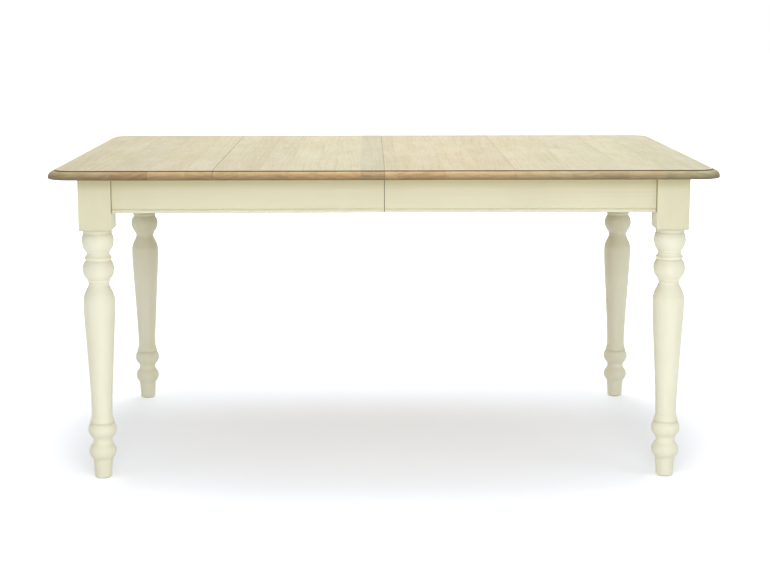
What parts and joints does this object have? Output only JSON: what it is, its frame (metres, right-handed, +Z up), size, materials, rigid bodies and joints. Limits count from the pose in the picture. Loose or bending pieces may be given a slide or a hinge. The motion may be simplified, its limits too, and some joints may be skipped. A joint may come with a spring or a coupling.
{
  "type": "extending dining table",
  "caption": "Farmhouse extending table with a planked oak top split across the middle, cream painted aprons and turned legs, geared slides and a folded leaf stored below.",
  "frame": {"origin": "on the floor, under the middle of the closed top", "axes": "+X along the length to the right, +Y to the rear (the pictured side faces -Y), +Z up"},
  "size_m": [1.6, 1, 0.77],
  "materials": {
    "oak_top": "lime-washed, matt lacquer",
    "cream_paint": "satin cream paint",
    "beech": "waxed, planed",
    "pine": "sawn, unfinished",
    "white_nylon": "moulded",
    "brown_nylon": "moulded",
    "grey_felt": "pressed felt and soft bumpers",
    "zinc_steel": "bright zinc plate",
    "brassed_steel": "brass plate, satin"
  },
  "bodies": {
    "left_half": {"left_top": "oak_top", "left_front_apron": "cream_paint", "left_rear_apron": "cream_paint", "left_end_apron": "cream_paint", "left_front_leg": "cream_paint", "left_rear_leg": "cream_paint", "left_front_corner_block": "pine", "left_rear_corner_block": "pine", "left_leg_bolts": "zinc_steel", "left_leg_nuts": "zinc_steel", "left_foot_glides": "brown_nylon", "left_top_brackets": "zinc_steel", "left_bracket_screws": "zinc_steel", "left_rail_screws": "zinc_steel", "left_stop_pins": "zinc_steel", "front_left_rail": "beech", "rear_left_rail": "beech", "front_left_rack": "white_nylon", "rear_left_rack": "white_nylon", "alignment_dowels": "beech", "catch_plates": "brassed_steel", "catch_pivots": "brassed_steel", "catch_screws": "zinc_steel"},
    "right_half": {"right_top": "oak_top", "right_front_apron": "cream_paint", "right_rear_apron": "cream_paint", "right_end_apron": "cream_paint", "right_front_leg": "cream_paint", "right_rear_leg": "cream_paint", "right_front_corner_block": "pine", "right_rear_corner_block": "pine", "right_leg_bolts": "zinc_steel", "right_leg_nuts": "zinc_steel", "right_foot_glides": "brown_nylon", "right_top_brackets": "zinc_steel", "right_bracket_screws": "zinc_steel", "right_rail_screws": "zinc_steel", "right_stop_pins": "zinc_steel", "front_right_rail": "beech", "rear_right_rail": "beech", "front_right_rack": "white_nylon", "rear_right_rack": "white_nylon", "dowel_bushes": "white_nylon", "catch_keepers": "brassed_steel", "keeper_screws": "zinc_steel"},
    "centre_carriage": {"front_centre_rail": "beech", "rear_centre_rail": "beech", "leaf_bearers": "beech", "bearer_screws": "zinc_steel", "leaf_lower_panel": "oak_top", "leaf_upper_panel": "oak_top", "leaf_hinge_plates": "brassed_steel", "leaf_hinge_pins": "brassed_steel", "leaf_pads": "grey_felt", "leaf_dowels": "beech", "pinion_axles": "zinc_steel"},
    "front_pinion": {"front_pinion": "white_nylon"},
    "rear_pinion": {"rear_pinion": "white_nylon"},
    "front_catch_hook": {"front_catch_hook": "brassed_steel"},
    "rear_catch_hook": {"rear_catch_hook": "brassed_steel"}
  },
  "joints": [
    {"name": "table_open", "type": "slide", "parent": "left_half", "child": "right_half", "axis": [1, 0, 0], "range_m": [0, 0.5]},
    {"name": "carriage_slide", "type": "slide", "parent": "left_half", "child": "centre_carriage", "axis": [1, 0, 0], "range_m": [0, 0.25]},
    {"name": "front_pinion_spin", "type": "hinge", "parent": "centre_carriage", "child": "front_pinion", "pos_m": [0, -0.3, 0.698], "axis": [0, 0, 1], "range_deg": [-960, 0]},
    {"name": "rear_pinion_spin", "type": "hinge", "parent": "centre_carriage", "child": "rear_pinion", "pos_m": [0, 0.3, 0.698], "axis": [0, 0, 1], "range_deg": [-960, 0]},
    {"name": "front_catch_swing", "type": "hinge", "parent": "left_half", "child": "front_catch_hook", "pos_m": [-0.03, -0.3972, 0.728], "axis": [0, -1, 0], "range_deg": [-5, 90]},
    {"name": "rear_catch_swing", "type": "hinge", "parent": "left_half", "child": "rear_catch_hook", "pos_m": [-0.03, 0.3972, 0.728], "axis": [0, -1, 0], "range_deg": [-5, 90]}
  ],
  "couplings": [
    {"joint": "carriage_slide", "follows": "table_open", "ratio": 0.5},
    {"joint": "front_pinion_spin", "follows": "table_open", "rad_per_m": -33.333},
    {"joint": "rear_pinion_spin", "follows": "table_open", "rad_per_m": -33.333}
  ]
}
